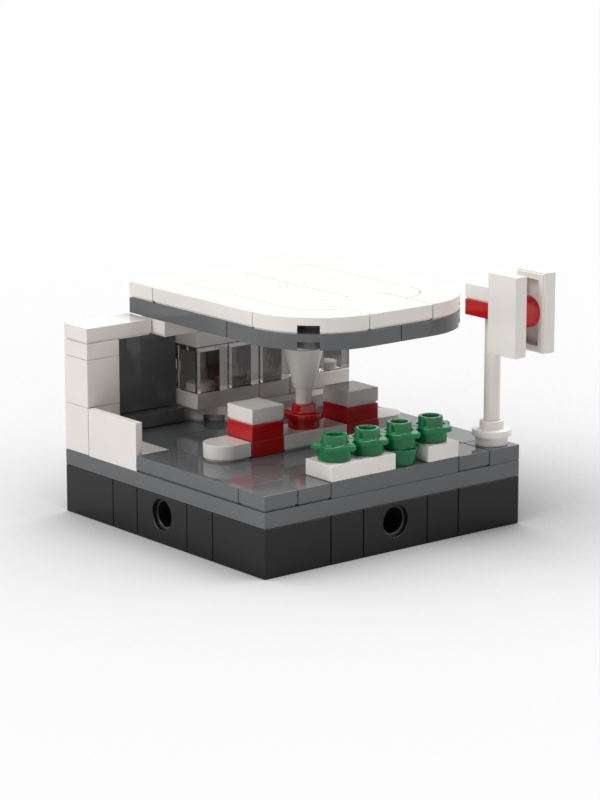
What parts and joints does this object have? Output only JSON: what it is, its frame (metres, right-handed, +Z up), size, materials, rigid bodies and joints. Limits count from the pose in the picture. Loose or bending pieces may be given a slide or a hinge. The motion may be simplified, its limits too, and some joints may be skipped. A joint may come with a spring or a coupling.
{
  "type": "toy service station",
  "caption": "Toy filling station of studded plates and bricks: rounded canopy on a glazed wall and tapered column, pump island, flower planter and turning pole sign on a square base.",
  "frame": {"origin": "centre of the square base at its underside, on the table", "axes": "+X to the right along the street front, +Y from the street towards the glazed wall, +Z up"},
  "size_m": [0.0651, 0.0718, 0.0514],
  "materials": {
    "white_plastic": "smooth moulded",
    "grey_plastic": "smooth moulded",
    "black_plastic": "smooth moulded",
    "red_plastic": "smooth moulded",
    "green_plastic": "smooth moulded",
    "clear_plastic": "clear moulded"
  },
  "bodies": {
    "station": {"base_corner_bricks": "black_plastic", "base_single_bricks": "black_plastic", "base_pin_bricks": "black_plastic", "base_plate": "grey_plastic", "floor_corner_tile": "grey_plastic", "floor_edge_tiles": "grey_plastic", "floor_front_tiles": "grey_plastic", "floor_front_plate": "grey_plastic", "floor_sign_plate": "grey_plastic", "floor_drive_tile_front": "grey_plastic", "floor_island_plate": "grey_plastic", "floor_drive_tile_rear": "grey_plastic", "floor_rear_single_tile": "grey_plastic", "floor_rear_tile": "grey_plastic", "floor_bracket_plate": "grey_plastic", "floor_wall_plate_wide": "grey_plastic", "floor_wall_plate_narrow": "grey_plastic", "planter_plate_long": "white_plastic", "planter_plate_short": "white_plastic", "flower_1": "green_plastic", "flower_2": "green_plastic", "flower_3": "green_plastic", "flower_4": "green_plastic", "flower_low": "green_plastic", "island_end_tiles": "white_plastic", "island_jumper": "white_plastic", "pump_lower_plates": "red_plastic", "pump_upper_plates": "red_plastic", "pump_heads": "white_plastic", "column_foot": "red_plastic", "column_cone": "white_plastic", "column_cap": "white_plastic", "sign_foot": "white_plastic", "corner_post_lower": "white_plastic", "corner_post_upper": "white_plastic", "corner_post_plate": "white_plastic", "corner_post_tile": "white_plastic", "low_panel": "white_plastic", "bracket": "grey_plastic", "upright_tile": "grey_plastic", "wall_corner_tile": "white_plastic", "wall_jumpers": "white_plastic", "sill_long_plates": "white_plastic", "sill_short_plate": "white_plastic", "glass_bricks": "clear_plastic", "header_plates": "white_plastic", "beam_jumpers": "white_plastic"},
    "sign": {"sign_pole": "white_plastic", "sign_ring_plate": "red_plastic", "sign_top_tile": "white_plastic", "sign_boards": "white_plastic", "sign_sleeve": "white_plastic"},
    "roof": {"roof_corner_plates": "grey_plastic", "roof_rear_plate": "grey_plastic", "roof_curved_tiles": "white_plastic", "roof_quarter_tiles": "white_plastic", "roof_square_tiles": "white_plastic", "roof_side_tiles": "white_plastic", "roof_rear_tile": "white_plastic"}
  },
  "joints": [
    {"name": "sign_turn", "type": "hinge", "parent": "station", "child": "sign", "pos_m": [0.028, -0.028, 0.0177], "axis": [0, 0, 1], "range_deg": [-80, 135]},
    {"name": "roof_lift", "type": "slide", "parent": "station", "child": "roof", "axis": [0, 0, 1], "range_m": [0, 0.02]}
  ]
}
